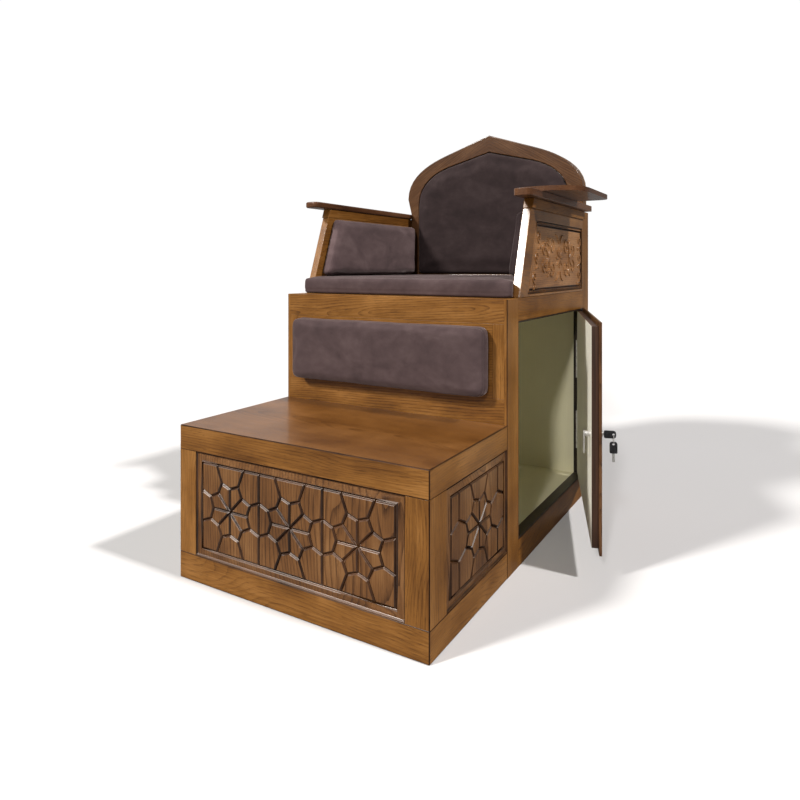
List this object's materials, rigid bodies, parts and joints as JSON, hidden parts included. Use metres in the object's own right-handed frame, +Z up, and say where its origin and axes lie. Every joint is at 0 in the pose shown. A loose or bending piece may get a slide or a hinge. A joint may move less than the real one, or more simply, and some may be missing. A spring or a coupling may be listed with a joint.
{
  "type": "preacher chair",
  "caption": "Stepped wooden preacher's chair with a carved step box, a lockable side-door cabinet, a padded seat with arms, a pointed-arch back and a swivelling arm tablet.",
  "frame": {"origin": "on the floor, at the middle of the footprint of the step and cabinet, on the underside of the floor bearer", "axes": "+Z up, +Y from the step towards the back, +X towards the side with the door"},
  "size_m": [1.0177, 1.237, 1.338],
  "materials": {
    "wood": "medium brown stain on open-grained wood, satin to gloss lacquer",
    "carved_wood": "darker brown stain, vertical grain, satin lacquer in the carving",
    "glossy_wood": "dark red-brown stain, glossy lacquer",
    "dark_wood": "nearly black brown edge lacquer",
    "plain_wood": "plain stained board, matte",
    "cream_paint": "smooth matte cream paint",
    "velvet": "grey-brown short-pile velvet",
    "metal": "satin nickel",
    "black_plastic": "moulded black plastic"
  },
  "bodies": {
    "chair": {"step_top": "wood", "step_front_rail_low": "wood", "step_front_rail_high": "wood", "step_front_stile_R": "wood", "step_front_stile_L": "wood", "step_front_panel": "carved_wood", "step_side_rail_high_L": "wood", "step_side_rail_high_R": "wood", "step_side_rail_low_L": "wood", "step_side_rail_low_R": "wood", "step_side_stile_L": "wood", "step_side_stile_R": "wood", "step_side_panel_L": "carved_wood", "step_side_panel_R": "carved_wood", "cab_front_low": "wood", "cab_front_high": "wood", "cab_post_front_L": "wood", "cab_post_front_R": "wood", "post_rear_L": "wood", "post_rear_R": "wood", "cab_rail_low_L": "wood", "cab_rail_low_R": "wood", "cab_rail_high_L": "wood", "cab_rail_high_R": "wood", "cab_panel_L": "wood", "door_reveal": "dark_wood", "cab_liner": "cream_paint", "cab_bearer": "plain_wood", "seat_board": "wood", "cab_back": "plain_wood", "calf_pad": "velvet", "seat_cushion": "velvet", "arm_frame_L": "wood", "arm_panel_L": "carved_wood", "arm_strip_L": "wood", "arm_pad_L": "velvet", "arm_board_L": "glossy_wood", "arm_frame_R": "wood", "arm_panel_R": "carved_wood", "arm_strip_R": "wood", "arm_pad_R": "velvet", "arm_board_R": "glossy_wood", "tablet_pin": "metal", "back_frame": "wood", "back_board": "plain_wood", "back_pad": "velvet", "hinge_frame_leaf_low": "metal", "hinge_frame_leaf_high": "metal"},
    "door": {"door_core": "cream_paint", "door_skin": "wood", "hinge_door_leaf_low": "metal", "hinge_door_leaf_high": "metal", "lock_body": "metal"},
    "lock_plug": {"lock_plug": "metal"},
    "key": {"key_bow": "black_plastic", "key_blade": "metal"},
    "key_ring": {"key_ring": "metal"},
    "spare_key": {"spare_bow": "black_plastic", "spare_blade": "metal"},
    "tablet": {"tablet": "glossy_wood"}
  },
  "joints": [
    {"name": "door_hinge", "type": "hinge", "parent": "chair", "child": "door", "pos_m": [0.381, 0.5368, 0.37], "axis": [0, 0, 1], "range_deg": [-18.9, 90]},
    {"name": "lock_turn", "type": "hinge", "parent": "door", "child": "lock_plug", "pos_m": [0.56815, -0.02835, 0.372], "axis": [-0.9461, -0.3239, 0], "range_deg": [0, 90]},
    {"name": "key_slide", "type": "slide", "parent": "lock_plug", "child": "key", "axis": [0.9461, 0.3239, 0], "range_m": [0, 0.036]},
    {"name": "ring_swing", "type": "hinge", "parent": "key", "child": "key_ring", "pos_m": [0.60741, -0.01491, 0.37025], "axis": [-0.3239, 0.9461, 0], "range_deg": [-35, 12]},
    {"name": "spare_key_swing", "type": "hinge", "parent": "key_ring", "child": "spare_key", "pos_m": [0.60741, -0.01491, 0.34825], "axis": [-0.3239, 0.9461, 0], "range_deg": [-35, 10]},
    {"name": "tablet_swivel", "type": "hinge", "parent": "chair", "child": "tablet", "pos_m": [0.373, 0.0715, 1.047], "axis": [0, 0, 1], "range_deg": [0, 95]}
  ]
}
